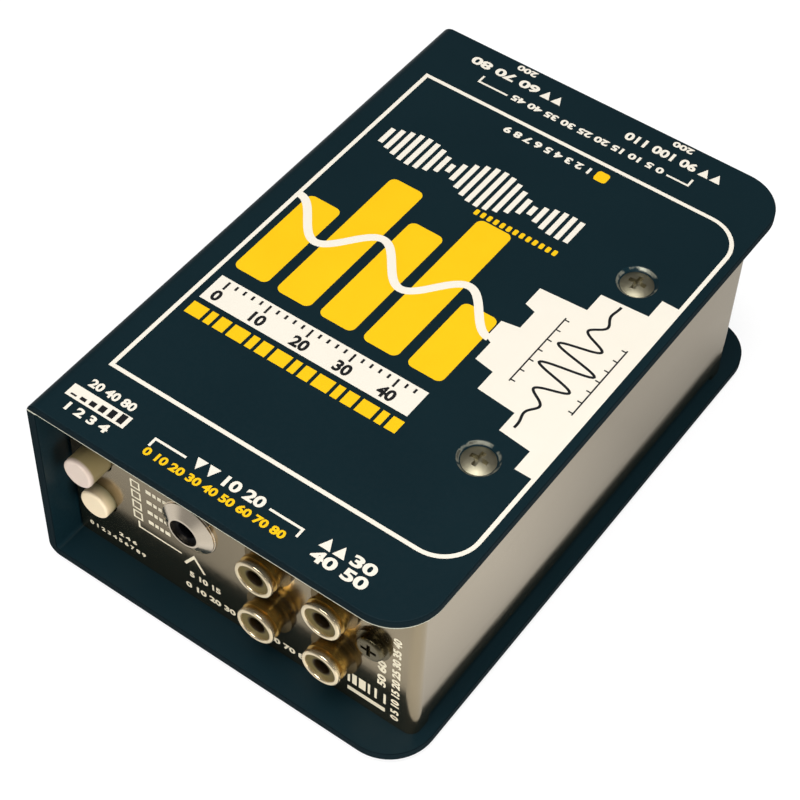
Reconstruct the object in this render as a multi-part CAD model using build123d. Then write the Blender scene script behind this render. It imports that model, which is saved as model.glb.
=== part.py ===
from build123d import *
import os
from math import cos, sin, radians

os.makedirs("parts", exist_ok=True)

# Phono preamp in a folded steel box. Millimetres, +Z up, origin on the table under the box's middle.
# -Y is the connector end, +Y the balanced output end, +X the open side of the sleeve.

# ---- driving dimensions ----

# Outer sleeve: one steel sheet folded twice down its left side, like the cover of a book
sleeve_width = 84.0
sleeve_length = 129.4
sleeve_height = 44.9
sleeve_sheet = 1.9
fold_radius = 2.7
corner_radius = 9.75
edge_break = 0.3
pad_thickness = 1.6
pad_inset = 1.2

# Chassis: one sheet that makes the front panel, the right wall, the rear panel, a flange and a floor
chassis_sheet = 1.6
wall_inset = 2.5
front_recess = 7.2
rear_recess = 10.9
wall_bend_radius = 2.15
flange_bend_radius = 2.4
flange_width = 19.0
floor_width = 76.0
corner_relief = 4.7
panel_gap = 0.1
side_gap = 0.5

# Cover screws: two above and two below, through the sleeve into clinch nuts
cover_screw_x = 29.5
cover_screw_y = 26.4
cover_head_radius = 3.3
cover_head_sink = 0.75
cover_head_depth = 1.15
cover_head_dome = 0.7
cover_recess_width = 0.95
cover_recess_length = 3.6
cover_recess_depth = 1.4
cover_rim_radius = 4.15
cover_shank_radius = 2.0
cover_screw_length = 5.2

# Circuit board
board_thickness = 1.6
board_gap = 2.55
board_width = 72.0
board_front_y = -54.5
board_rear_y = 50.0
board_screw_x = 31.0
board_screw_front_y = -33.0
board_screw_rear_y = 8.0

# Front panel: two stacked pairs of phono sockets, a small jack, two push buttons, a ground screw
phono_columns = {"out": 7.3, "in": 22.0}
phono_spacing = 14.7
phono_proud = 5.1
phono_radius = 4.15
phono_inner_radius = 3.3
phono_centre_radius = 1.65
minijack_x = -11.25
minijack_proud = 2.0
minijack_bore_radius = 1.8
button_x = -33.2
button_spacing = 12.5
button_radius = 3.3
button_proud = {"upper": 5.5, "lower": 2.5}
ground_x = 30.3
small_row_z = 26.6

# Rear panel: two balanced sockets with a power inlet between them
xlr_x = 18.0
xlr_flange_width = 26.0
xlr_flange_height = 31.0
xlr_flange_thickness = 2.2
xlr_barrel_radius = 11.7
xlr_socket_radius = 8.1
xlr_socket_depth = 14.5
xlr_screw_x = 9.5
xlr_screw_z = 12.0
power_height = 6.6

# ---- levels worked out from them ----

half_width = sleeve_width / 2
half_length = sleeve_length / 2
sleeve_bottom = pad_thickness
sleeve_top = sleeve_bottom + sleeve_height
inside_bottom = sleeve_bottom + sleeve_sheet
inside_top = sleeve_top - sleeve_sheet
middle_z = (sleeve_bottom + sleeve_top) / 2
wall_x = half_width - wall_inset
panel_y = -half_length + front_recess
panel_back_y = panel_y + chassis_sheet
rear_y = half_length - rear_recess
rear_inner_y = rear_y - chassis_sheet
floor_top = inside_bottom + chassis_sheet
board_bottom = floor_top + board_gap
board_top = board_bottom + board_thickness


def save(shape, node):
    export_step(shape, f"parts/{node}.step")


def box(x0, x1, y0, y1, z0, z1):
    """A block between two corners."""
    centre = ((x0 + x1) / 2, (y0 + y1) / 2, (z0 + z1) / 2)
    return Pos(*centre) * Box(x1 - x0, y1 - y0, z1 - z0)


def post(x, y, z0, z1, radius):
    """An upright cylinder."""
    return Pos(x, y, (z0 + z1) / 2) * Cylinder(radius, z1 - z0)


def rod(x, z, y0, y1, radius):
    """A cylinder along Y."""
    return Pos(x, (y0 + y1) / 2, z) * Rot(X=90) * Cylinder(radius, y1 - y0)


def turned(profile, rounds=()):
    """A piece turned about the Y axis. The profile is (radius, y) pairs; rounds are (radius, y, fillet)."""
    face = make_face(Polyline(*profile, close=True))
    for radius, y, size in rounds:
        corner = face.vertices().sort_by_distance((radius, y, 0))[0]
        face = fillet(corner, size)
    return revolve(face, Axis.Y)


def along_y(face_xz, y0, y1):
    """A prism with a section in X and Z, from y0 to y1."""
    return Pos(0, y1, 0) * extrude(Plane.XZ * face_xz, amount=y1 - y0)


def rounded_right(x0, x1, y0, y1, radius):
    """A rectangle with its two right-hand corners rounded."""
    shape = Pos((x0 + x1) / 2, (y0 + y1) / 2) * Rectangle(x1 - x0, y1 - y0)
    return fillet(shape.vertices().group_by(Axis.X)[-1], radius)


def rounded_left(x0, x1, y0, y1, radius):
    """A rectangle with its two left-hand corners rounded."""
    shape = Pos((x0 + x1) / 2, (y0 + y1) / 2) * Rectangle(x1 - x0, y1 - y0)
    return fillet(shape.vertices().group_by(Axis.X)[0], radius)


def mirrored_pair(piece):
    """A piece and its copy across the XZ plane."""
    return piece + mirror(piece, Plane.XZ)


# ---- screws and nuts ----

clinch_radius = 4.0
clinch_pilot_radius = 2.9
clinch_height = 2.2


def cross_recess(width, length, depth):
    """The cross cut in a screw head whose top is at z = 0."""
    bar = Pos(0, 0, -depth / 2) * Box(length, width, depth)
    return bar + Rot(Z=90) * bar


def pan_screw(head_radius, head_height, shank_radius, length):
    """A pan-head screw standing head up, with the underside of its head at z = 0."""
    head = Pos(0, 0, head_height / 2) * Cylinder(head_radius, head_height)
    head = fillet(head.edges().group_by(Axis.Z)[-1], head_height * 0.45)
    shank = Pos(0, 0, -length / 2) * Cylinder(shank_radius, length)
    recess = Pos(0, 0, head_height) * cross_recess(head_radius * 0.27, head_radius * 1.15, head_height * 0.6)
    return head + shank - recess


def cover_screw():
    """A raised countersunk screw standing head up, the rim of its head at z = 0 and its dome above."""
    cone = Pos(0, 0, -cover_head_depth / 2) * Cone(cover_shank_radius, cover_head_radius, cover_head_depth)
    crown_radius = (cover_head_radius**2 + cover_head_dome**2) / (2 * cover_head_dome)
    ball = Pos(0, 0, cover_head_dome - crown_radius) * Sphere(crown_radius)
    dome = ball & Pos(0, 0, cover_head_dome) * Cylinder(cover_head_radius + 1, 2 * cover_head_dome)
    shank = Pos(0, 0, -cover_screw_length / 2) * Cylinder(cover_shank_radius, cover_screw_length)
    recess = cross_recess(cover_recess_width, cover_recess_length, cover_recess_depth)
    return cone + dome + shank - Pos(0, 0, cover_head_dome) * recess


def cover_screw_cutter():
    """What a cover screw takes out of the sleeve: shallow rim, cone and clearance, outer face at z = 0."""
    rim = Pos(0, 0, -cover_head_sink / 2) * Cone(cover_head_radius, cover_rim_radius, cover_head_sink)
    cone_middle = -cover_head_sink - cover_head_depth / 2
    cone = Pos(0, 0, cone_middle) * Cone(cover_shank_radius, cover_head_radius, cover_head_depth)
    return rim + cone + Cylinder(cover_shank_radius, 4 * sleeve_sheet)


def clinch_nut(radius, pilot_radius, thread_radius):
    """A nut pressed into a sheet from below: its pilot fills the hole and its body hangs under z = 0."""
    body = Pos(0, 0, -clinch_height / 2) * Cylinder(radius, clinch_height)
    pilot = Pos(0, 0, chassis_sheet / 2) * Cylinder(pilot_radius, chassis_sheet)
    return body + pilot - Cylinder(thread_radius, 10)


# ---- casing ----

def make_sleeve():
    outline = rounded_left(-half_width, half_width, sleeve_bottom, sleeve_top, fold_radius)
    inner_radius = fold_radius - sleeve_sheet
    inner_x = -half_width + sleeve_sheet
    opening = rounded_left(inner_x, half_width + 5, inside_bottom, inside_top, inner_radius)
    sheet = along_y(outline - opening, -half_length, half_length)
    plan = rounded_right(-half_width, half_width, -half_length, half_length, corner_radius)
    sheet = sheet & extrude(plan, amount=sleeve_top + 1)
    for y in (-cover_screw_y, cover_screw_y):
        sheet -= Pos(cover_screw_x, y, sleeve_top) * cover_screw_cutter()
        sheet -= Pos(cover_screw_x, y, sleeve_bottom) * Rot(X=180) * cover_screw_cutter()
    rims = [e for e in sheet.edges() if on_plan_edge(e) and on_outer_face(e)]
    return fillet(rims, edge_break)


def on_plan_edge(edge):
    """True for an edge that runs round the outline of the two plates."""
    middle = edge @ 0.5
    past_front = abs(middle.Y) > half_length - 0.01
    past_right = middle.X > half_width - 0.01
    corner = middle.X > half_width - corner_radius and abs(middle.Y) > half_length - corner_radius
    return past_front or past_right or corner


def on_outer_face(edge):
    """True for an edge that lies in the top or the bottom surface of the sleeve."""
    heights = [(edge @ t).Z for t in (0, 0.5, 1)]
    at_top = all(abs(z - sleeve_top) < 0.01 for z in heights)
    at_bottom = all(abs(z - sleeve_bottom) < 0.01 for z in heights)
    return at_top or at_bottom


def make_chassis():
    folded = wrap_panels() + wall_with_flanges()
    return folded - panel_cutouts()


def wrap_panels():
    """Front panel, two corner bends and rear panel, without the wall between the bends."""
    left_x = -half_width + sleeve_sheet + side_gap
    outer = rounded_right(left_x, wall_x, panel_y, rear_y, wall_bend_radius)
    inner_radius = wall_bend_radius - chassis_sheet
    inner = rounded_right(left_x - 5, wall_x - chassis_sheet, panel_back_y, rear_inner_y, inner_radius)
    low = inside_bottom + panel_gap
    high = inside_top - panel_gap
    band = Pos(0, 0, low) * extrude(outer - inner, amount=high - low)
    gap = box(wall_x - 8, wall_x + 1, panel_y + corner_relief, rear_y - corner_relief, low - 1, high + 1)
    return band - gap


def wall_with_flanges():
    """Right wall with the top flange and the floor pan bent from its long edges."""
    floor_x = wall_x - floor_width
    flange_x = wall_x - flange_width
    flange_bottom = inside_top - chassis_sheet
    outer = rounded_right(floor_x, wall_x, inside_bottom, inside_top, flange_bend_radius)
    inner_radius = flange_bend_radius - chassis_sheet
    inner = rounded_right(floor_x - 5, wall_x - chassis_sheet, floor_top, flange_bottom, inner_radius)
    section = outer - inner
    cut_x = (floor_x - 5 + flange_x) / 2
    section -= Pos(cut_x, inside_top) * Rectangle(flange_x - floor_x + 5, 4 * chassis_sheet)
    return along_y(section, panel_y + corner_relief, rear_y - corner_relief)


def panel_cutouts():
    """Every hole in the chassis."""
    front_holes = [(x, z, phono_nose_radius + 0.1) for x, z in phono_places().values()]
    front_holes += [(button_x, z, button_radius + 0.35) for z in button_heights().values()]
    front_holes.append((minijack_x, small_row_z, minijack_thread_radius + 0.1))
    front_holes.append((ground_x, small_row_z, ground_pilot_radius))
    holes = [rod(x, z, panel_y - 1, panel_back_y + 1, radius) for x, z, radius in front_holes]
    flange_bottom = inside_top - chassis_sheet
    for x in (-xlr_x, xlr_x):
        holes.append(rod(x, middle_z, rear_inner_y - 1, rear_y + 1, xlr_barrel_radius + 0.2))
        for sx, sz in xlr_screw_places(x):
            holes.append(rod(sx, sz, rear_inner_y - 1, rear_y + 1, xlr_shank_radius))
    holes.append(rod(0, board_top + power_height, rear_inner_y - 1, rear_y + 1, power_nose_radius + 0.1))
    for y in (-cover_screw_y, cover_screw_y):
        holes.append(post(cover_screw_x, y, inside_bottom - 1, floor_top + 1, clinch_pilot_radius))
        holes.append(post(cover_screw_x, y, flange_bottom - 1, inside_top + 1, clinch_pilot_radius))
    for x, y in board_screw_places():
        holes.append(post(x, y, inside_bottom - 1, floor_top + 1, spacer_pilot_radius))
    return holes


def make_base_pad():
    x0 = -half_width + fold_radius
    x1 = half_width - pad_inset
    y1 = half_length - pad_inset
    pad = extrude(rounded_right(x0, x1, -y1, y1, corner_radius - pad_inset), amount=pad_thickness)
    for y in (-cover_screw_y, cover_screw_y):
        pad -= post(cover_screw_x, y, -1, pad_thickness + 1, cover_rim_radius + 0.5)
    return pad


def make_cover_screws():
    head_top = sleeve_top - cover_head_sink
    head_bottom = sleeve_bottom + cover_head_sink
    above = mirrored_pair(Pos(cover_screw_x, cover_screw_y, head_top) * cover_screw())
    below = mirrored_pair(Pos(cover_screw_x, cover_screw_y, head_bottom) * Rot(X=180) * cover_screw())
    return above, below


def make_clinch_nuts():
    cover_nut = clinch_nut(clinch_radius, clinch_pilot_radius, cover_shank_radius)
    above = Pos(cover_screw_x, cover_screw_y, inside_top - chassis_sheet) * cover_nut
    below = Pos(cover_screw_x, cover_screw_y, floor_top) * Rot(X=180) * cover_nut
    return mirrored_pair(above + below)


# ---- circuit board ----

spacer_radius = 2.6
spacer_pilot_radius = 1.9
board_shank_radius = 1.5
board_screw_head_radius = 2.8
board_screw_head_height = 1.8
board_screw_length = 5.0


def board_screw_places():
    rear_row = board_screw_rear_y
    return [(x, y) for x in (-board_screw_x, board_screw_x) for y in (board_screw_front_y, rear_row)]


def make_board():
    board = box(-board_width / 2, board_width / 2, board_front_y, board_rear_y, board_bottom, board_top)
    board = chamfer(board.edges().filter_by(Axis.Z), 1.5)
    for x, y in board_screw_places():
        board -= post(x, y, board_bottom - 1, board_top + 1, board_shank_radius + 0.1)
    return board


def make_board_spacers():
    """Press-in spacers: a pilot in the floor pan, a hexagon up to the board and a thread down the middle."""
    spacers = Part()
    for x, y in board_screw_places():
        hexagon = extrude(RegularPolygon(spacer_radius, 6), amount=board_gap)
        spacer = Pos(x, y, floor_top) * hexagon + post(x, y, inside_bottom, floor_top, spacer_pilot_radius)
        spacers += spacer - post(x, y, inside_bottom - 1, board_bottom + 1, board_shank_radius)
    return spacers


def make_board_screws():
    head = (board_screw_head_radius, board_screw_head_height)
    screw = pan_screw(*head, board_shank_radius, board_screw_length)
    screws = Part()
    for x, y in board_screw_places():
        screws += Pos(x, y, board_top) * screw
    return screws


# ---- phono sockets ----

phono_nose_radius = 4.75
phono_neck_radius = 3.75
phono_barrel_radius = 3.95
phono_block_depth = 13.9
phono_block_width = 9.8
phono_block_above = 6.2
phono_tail_depth = 9.8
phono_contact_depth = 11.8
phono_contact_radius = 2.0
phono_bore_length = 5.0
phono_flange_radius = 5.15
phono_flange_thickness = 0.8
phono_face_set_back = 0.6
phono_slit_width = 0.4
phono_slit_length = 5.0
block_chamfer = 0.8


def phono_places():
    """Socket name to the X and Z of its axis."""
    places = {}
    for use, x in phono_columns.items():
        places[f"{use}_left"] = (x, middle_z + phono_spacing / 2)
        places[f"{use}_right"] = (x, middle_z - phono_spacing / 2)
    return places


def make_phono_block(use):
    """Moulded block that stands on the board and carries two sockets one above the other."""
    x = phono_columns[use]
    top = middle_z + phono_spacing / 2 + phono_block_above
    half = phono_block_width / 2
    block = box(x - half, x + half, panel_back_y, panel_back_y + phono_block_depth, board_top, top)
    block = chamfer(block.edges().group_by(Axis.Y)[-1], block_chamfer)
    for side in ("left", "right"):
        sx, sz = phono_places()[f"{use}_{side}"]
        block += rod(sx, sz, panel_y, panel_back_y + 1, phono_nose_radius)
        block -= rod(sx, sz, panel_y - 1, panel_back_y + phono_tail_depth, phono_barrel_radius)
        block -= rod(sx, sz, panel_y, panel_back_y + phono_contact_depth, phono_contact_radius)
    return block


def make_phono_sleeve():
    """Turned, gilded shell: rolled lip, groove, second lip, neck, flange on the panel and tail."""
    front = panel_y - phono_proud
    flange_front = panel_y - phono_flange_thickness
    tail = panel_back_y + phono_tail_depth
    profile = [
        (phono_inner_radius, front),
        (phono_radius, front),
        (phono_radius, front + 0.75),
        (phono_neck_radius - 0.1, front + 0.95),
        (phono_neck_radius - 0.1, front + 1.55),
        (phono_radius, front + 1.75),
        (phono_radius, front + 2.5),
        (phono_neck_radius, front + 2.8),
        (phono_neck_radius, flange_front),
        (phono_flange_radius, flange_front),
        (phono_flange_radius, panel_y),
        (phono_barrel_radius, panel_y),
        (phono_barrel_radius, tail),
        (phono_inner_radius, tail),
    ]
    lip = [(phono_radius, front, 0.35), (phono_inner_radius, front, 0.25)]
    return turned(profile, lip)


def make_phono_insulator():
    """Plastic core of a socket: a face set a little behind the lip, with the hole for the plug's pin."""
    face = panel_y - phono_proud + phono_face_set_back
    back = panel_back_y + phono_tail_depth
    step = face + phono_bore_length
    profile = [
        (phono_centre_radius, face),
        (phono_inner_radius, face),
        (phono_inner_radius, back),
        (phono_contact_radius, back),
        (phono_contact_radius, step),
        (phono_centre_radius, step),
    ]
    return turned(profile, [(phono_centre_radius, face, 0.3)])


def make_phono_contact():
    """Sprung tube behind the insulator's hole, slit twice, with a tail to the board."""
    start = panel_y - phono_proud + phono_face_set_back + phono_bore_length
    end = panel_back_y + phono_contact_depth
    cap_thickness = 0.8
    tube = rod(0, 0, start, end, phono_contact_radius)
    tube -= rod(0, 0, start - 1, end - cap_thickness, phono_centre_radius)
    half = phono_slit_width / 2
    reach = phono_contact_radius + 1
    return tube - box(-half, half, start - 1, start + phono_slit_length, -reach, reach)


# ---- 3.5 mm jack ----

minijack_thread_radius = 3.1
minijack_inner_radius = 2.2
minijack_body_width = 11.0
minijack_body_depth = 13.5
minijack_body_above = 5.6
minijack_cavity_depth = 12.0
minijack_nose_set_back = 0.8
minijack_ring_length = 1.8
minijack_nose_length = 4.0
minijack_nut_face_radius = 3.5
minijack_nut_radius = 6.0
minijack_nut_rim = 0.3
minijack_washer_radius = 6.2
minijack_washer_thickness = 0.35
minijack_leaf_x = 2.3
minijack_leaf_start = 5.0
minijack_leaf_thickness = 0.4
minijack_leaf_width = 3.0


def make_minijack():
    """Tall board-mounted jack: body, threaded nose, contacts, washer and dress nut."""
    place = Pos(minijack_x, 0, small_row_z)
    parts = (make_minijack_nose(), make_minijack_washer(), make_minijack_nut(), make_minijack_contacts())
    return make_minijack_body(), *[place * part for part in parts]


def make_minijack_body():
    """Moulded block on the board, with the cavity that the plug's tip reaches into."""
    half = minijack_body_width / 2
    back = panel_back_y + minijack_body_depth
    top = small_row_z + minijack_body_above
    body = box(minijack_x - half, minijack_x + half, panel_back_y, back, board_top, top)
    body = chamfer(body.edges().group_by(Axis.Y)[-1], block_chamfer)
    cavity_end = panel_back_y + minijack_cavity_depth
    return body - rod(minijack_x, small_row_z, panel_back_y - 1, cavity_end, minijack_thread_radius)


def make_minijack_nose():
    """Threaded nose, sunk a little in its nut, with a ring that centres the plug."""
    front = panel_y - minijack_proud + minijack_nose_set_back
    ring_end = front + minijack_ring_length
    end = panel_back_y + minijack_nose_length
    profile = [
        (minijack_bore_radius, front),
        (minijack_thread_radius, front),
        (minijack_thread_radius, end),
        (minijack_inner_radius, end),
        (minijack_inner_radius, ring_end),
        (minijack_bore_radius, ring_end),
    ]
    return turned(profile, [(minijack_bore_radius, front, 0.3)])


def make_minijack_washer():
    front = panel_y - minijack_washer_thickness
    washer = rod(0, 0, front, panel_y, minijack_washer_radius)
    washer = fillet(washer.edges().group_by(Axis.Y)[0], 0.15)
    return washer - rod(0, 0, front - 1, panel_y + 1, minijack_thread_radius)


def make_minijack_nut():
    """Round dress nut with a cone for its face."""
    front = panel_y - minijack_proud
    back = panel_y - minijack_washer_thickness
    rim = back - minijack_nut_rim
    profile = [
        (minijack_thread_radius, front),
        (minijack_nut_face_radius, front),
        (minijack_nut_radius, rim),
        (minijack_nut_radius, back),
        (minijack_thread_radius, back),
    ]
    return turned(profile, [(minijack_nut_face_radius, front, 0.25), (minijack_nut_radius, rim, 0.12)])


def make_minijack_contacts():
    """A spring leaf on either side of the cavity, fixed in its end wall."""
    start = panel_back_y + minijack_leaf_start
    end = panel_back_y + minijack_cavity_depth
    half = minijack_leaf_thickness / 2
    reach = minijack_leaf_width / 2
    leaf = box(minijack_leaf_x - half, minijack_leaf_x + half, start, end, -reach, reach)
    return leaf + mirror(leaf, Plane.YZ)


# ---- push buttons ----

switch_width = 8.5
switch_front_y = -51.0
switch_back_y = -36.5
channel_back_y = -40.5
plunger_radius = 1.6
plunger_reach = 7.0
cap_length = 8.0
cap_socket_depth = 4.0
cap_front_round = 0.5
cap_back_round = 0.3
switch_stub_radius = 1.2
switch_stub_length = 1.2
spring_wire_radius = 0.22
spring_coil_radius = 1.3
spring_turns = 5
riser_above = 12.5


def button_heights():
    """Button name to the height of its axis."""
    return {"upper": middle_z + button_spacing / 2, "lower": middle_z - button_spacing / 2}


def make_button_cap(which):
    """Moulded cap with a soft front edge and a blind hole for the plunger."""
    front = panel_y - button_proud[which]
    back = front + cap_length
    profile = [(0, front), (button_radius, front), (button_radius, back), (0, back)]
    cap = turned(profile, [(button_radius, front, cap_front_round), (button_radius, back, cap_back_round)])
    cap -= rod(0, 0, back - cap_socket_depth, back + 1, plunger_radius)
    return Pos(button_x, 0, button_heights()[which]) * cap


def make_plunger(which):
    """Rod that joins the cap to the switch, with a collar that the spring pushes on."""
    socket_end = panel_y - button_proud[which] + cap_length - cap_socket_depth
    inner_end = plunger_end_y(which)
    rod_piece = rod(0, 0, socket_end, inner_end, plunger_radius)
    return Pos(button_x, 0, button_heights()[which]) * chamfer(rod_piece.edges().group_by(Axis.Y)[-1], 0.3)


def plunger_end_y(which):
    """How far back the plunger reaches at rest."""
    return panel_y - button_proud[which] + cap_length + plunger_reach


def make_switch_body(which):
    """Push-push switch: a pressed frame over a moulded body with the plunger's channel in it."""
    z = button_heights()[which]
    half = switch_width / 2
    body = box(button_x - half, button_x + half, switch_front_y, switch_back_y, z - half, z + half)
    body = chamfer(body.edges().filter_by(Axis.Y), 0.6)
    body += rod(button_x, z, switch_back_y - 1, switch_back_y + switch_stub_length, switch_stub_radius)
    return body - rod(button_x, z, switch_front_y - 1, channel_back_y, plunger_radius + 0.15)


def make_switch_spring(which):
    """Compression spring between the plunger and the end of the channel."""
    start = plunger_end_y(which)
    length = channel_back_y - start
    rise = length - 2 * spring_wire_radius
    helix = Helix(pitch=rise / spring_turns, height=rise, radius=spring_coil_radius)
    section = Plane(origin=helix @ 0, z_dir=helix % 0) * Circle(spring_wire_radius)
    coil = sweep(section, path=helix, is_frenet=True)
    return Pos(button_x, channel_back_y - spring_wire_radius, button_heights()[which]) * Rot(X=90) * coil


def make_riser_board():
    """Small upright board that both switches are soldered to."""
    x0 = button_x + switch_width / 2
    return box(x0, x0 + board_thickness, switch_front_y, switch_back_y, board_top, middle_z + riser_above)


# ---- ground terminal ----

ground_head_radius = 2.9
ground_head_height = 1.4
ground_washer_radius = 3.6
ground_washer_thickness = 0.6
ground_shank_radius = 1.45
ground_shank_length = 8.0
ground_nut_radius = 3.0
ground_pilot_radius = 2.2
thread_clearance = 0.05


def make_ground_terminal():
    """Binding screw with a captive washer, and the clinch nut behind the panel."""
    head_y = panel_y - ground_washer_thickness
    upright = pan_screw(ground_head_radius, ground_head_height, ground_shank_radius, ground_shank_length)
    screw = Pos(ground_x, head_y, small_row_z) * Rot(X=90) * upright
    washer = rod(ground_x, small_row_z, head_y, panel_y, ground_washer_radius)
    washer -= rod(ground_x, small_row_z, head_y - 1, panel_y + 1, ground_shank_radius + thread_clearance)
    nut = clinch_nut(ground_nut_radius, ground_pilot_radius, ground_shank_radius + thread_clearance)
    nut = Pos(ground_x, panel_back_y, small_row_z) * Rot(X=90) * nut
    return screw, washer, nut


# ---- balanced output sockets ----

xlr_shank_radius = 1.5
xlr_pin_radius = 1.2
xlr_pin_circle = 4.7
xlr_pin_angles = (25, 155, 270)
xlr_pin_set_back = 1.5
xlr_tail_length = 21.0
xlr_back_wall = 2.0
xlr_corner_radius = 3.0
xlr_lip_width = 1.6
xlr_lip_height = 0.8
xlr_key_half_width = 1.1
xlr_key_bottom = 7.2
xlr_key_top = 8.4
xlr_screw_head_radius = 2.8
xlr_screw_head_height = 1.7
xlr_screw_length = 7.0
xlr_nut_radius = 3.1
xlr_nut_height = 2.2


def xlr_screw_places(x):
    """The two screws of one socket, at opposite corners of its flange."""
    return [(x - xlr_screw_x, middle_z + xlr_screw_z), (x + xlr_screw_x, middle_z - xlr_screw_z)]


def xlr_key(x, y0, y1, top):
    """The rib at the top of a socket, or the groove for it."""
    half = xlr_key_half_width
    return box(x - half, x + half, y0, y1, middle_z + xlr_key_bottom, middle_z + top)


def make_xlr_shell(x):
    """Die-cast flange with a barrel behind it, bored from the front and keyed inside at the top."""
    flange = RectangleRounded(xlr_flange_width, xlr_flange_height, xlr_corner_radius)
    front = rear_y + xlr_flange_thickness
    tail = rear_y - xlr_tail_length
    shell = Pos(x, 0, middle_z) * along_y(flange, rear_y, front)
    shell = chamfer(shell.edges().group_by(Axis.Y)[-1], 0.4)
    shell += rod(x, middle_z, tail, rear_y + 0.5, xlr_barrel_radius)
    shell += rod(x, middle_z, front - 0.5, front + xlr_lip_height, xlr_socket_radius + xlr_lip_width)
    shell -= rod(x, middle_z, tail + xlr_back_wall, front + 2, xlr_socket_radius)
    shell += xlr_key(x, front - xlr_socket_depth, front, xlr_key_top)
    for sx, sz in xlr_screw_places(x):
        shell -= rod(sx, sz, rear_y - 1, front + 1, xlr_shank_radius + 0.1)
    return shell


def make_xlr_insert(x):
    """Moulded disc at the bottom of the barrel that holds the three pins."""
    face = rear_y + xlr_flange_thickness - xlr_socket_depth
    tail = rear_y - xlr_tail_length
    insert = rod(x, middle_z, tail + xlr_back_wall, face, xlr_socket_radius)
    insert -= xlr_key(x, tail, face + 1, xlr_socket_radius + 1)
    for px, pz in xlr_pin_places(x):
        insert -= rod(px, pz, tail, face + 1, xlr_pin_radius)
    return insert


def xlr_pin_places(x):
    places = []
    for angle in xlr_pin_angles:
        px = x + xlr_pin_circle * cos(radians(angle))
        pz = middle_z + xlr_pin_circle * sin(radians(angle))
        places.append((px, pz))
    return places


def make_xlr_pins(x):
    """Three turned pins, round at the tip, that stop just short of the mouth."""
    tip = rear_y + xlr_flange_thickness - xlr_pin_set_back
    pins = Part()
    for px, pz in xlr_pin_places(x):
        pin = rod(px, pz, rear_y - xlr_tail_length + xlr_back_wall, tip, xlr_pin_radius)
        pins += fillet(pin.edges().group_by(Axis.Y)[-1], 0.8)
    return pins


def make_xlr_fasteners():
    """Pan-head screws from outside and hexagon nuts on the inside of the rear panel."""
    screws = Part()
    nuts = Part()
    front = rear_y + xlr_flange_thickness
    screw = pan_screw(xlr_screw_head_radius, xlr_screw_head_height, xlr_shank_radius, xlr_screw_length)
    nut = extrude(RegularPolygon(xlr_nut_radius, 6) - Circle(xlr_shank_radius), amount=xlr_nut_height)
    for x in (-xlr_x, xlr_x):
        for sx, sz in xlr_screw_places(x):
            screws += Pos(sx, front, sz) * Rot(X=-90) * screw
            nuts += Pos(sx, rear_inner_y, sz) * Rot(X=90) * nut
    return screws, nuts


# ---- power inlet ----

power_nose_radius = 3.9
power_bore_radius = 3.1
power_bore_depth = 9.0
power_pin_radius = 1.05
power_pin_depth = 11.0
power_pin_set_back = 1.2
power_body_half = 4.6
power_body_depth = 12.5


def make_power_inlet():
    """Barrel power inlet on the board: a body with a nose in the panel, and a centre pin."""
    z = board_top + power_height
    half = power_body_half
    body = box(-half, half, rear_inner_y - power_body_depth, rear_inner_y, board_top, z + half)
    body = chamfer(body.edges().filter_by(Axis.Y).group_by(Axis.Z)[-1], 1.5)
    body += rod(0, z, rear_inner_y - 1, rear_y, power_nose_radius)
    body -= rod(0, z, rear_inner_y - power_bore_depth, rear_y + 1, power_bore_radius)
    body -= rod(0, z, rear_inner_y - power_pin_depth, rear_y, power_pin_radius)
    pin = rod(0, z, rear_inner_y - power_pin_depth, rear_y - power_pin_set_back, power_pin_radius)
    pin = fillet(pin.edges().group_by(Axis.Y)[-1], 0.6)
    return body, pin


# ---- parts on the board ----

electrolytic_places = [(-24, -20), (-24, -10), (24, -20), (24, -10), (0, 18), (-10, 18), (10, 18)]
electrolytic_radius = 4.0
electrolytic_height = 11.5
electrolytic_groove_radius = 3.7
electrolytic_groove_low = 1.2
electrolytic_groove_high = 2.0
film_places = [(-8, -20), (8, -20), (-8, -12), (8, -12)]
film_length = 10.0
film_width = 5.0
film_height = 9.0
amplifier_places = [(-12, 2), (12, 2), (0, -30)]
chip_length = 9.8
chip_width = 6.4
chip_foot = 0.8
chip_top = 4.1
chip_pitch = 2.54
chip_pin_y = 3.6
chip_pin_width = 1.0
chip_pin_height = 2.6
resistor_rows = (-4.5, -1, 2.5)
resistor_columns = (-26, 26)
resistor_radius = 1.15
resistor_length = 6.2
resistor_height = 1.2
lead_radius = 0.3
lead_span = 9.2
lead_foot_radius = 0.4
transistor_places = [(-20, 22), (20, 22), (-27, 14), (27, 14)]
transistor_radius = 2.4
transistor_flat = 1.4
transistor_low = 2.5
transistor_high = 7.2
transistor_pitch = 1.27


def make_electrolytics():
    """Upright capacitors with a groove near the foot."""
    groove_middle = (electrolytic_groove_low + electrolytic_groove_high) / 2
    profile = [
        (0, 0),
        (electrolytic_radius, 0),
        (electrolytic_radius, electrolytic_groove_low),
        (electrolytic_groove_radius, groove_middle),
        (electrolytic_radius, electrolytic_groove_high),
        (electrolytic_radius, electrolytic_height),
        (0, electrolytic_height),
    ]
    rounds = [(electrolytic_radius, electrolytic_height, 0.6), (electrolytic_radius, 0, 0.4)]
    can = Rot(X=90) * turned(profile, rounds)
    cans = Part()
    for x, y in electrolytic_places:
        cans += Pos(x, y, board_top) * can
    return cans


def make_film_capacitors():
    """Boxed film capacitors of the equaliser network."""
    half_x = film_length / 2
    half_y = film_width / 2
    boxes = Part()
    for x, y in film_places:
        boxes += box(x - half_x, x + half_x, y - half_y, y + half_y, board_top, board_top + film_height)
    return fillet(boxes.edges().group_by(Axis.Z)[-1], 0.5)


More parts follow.
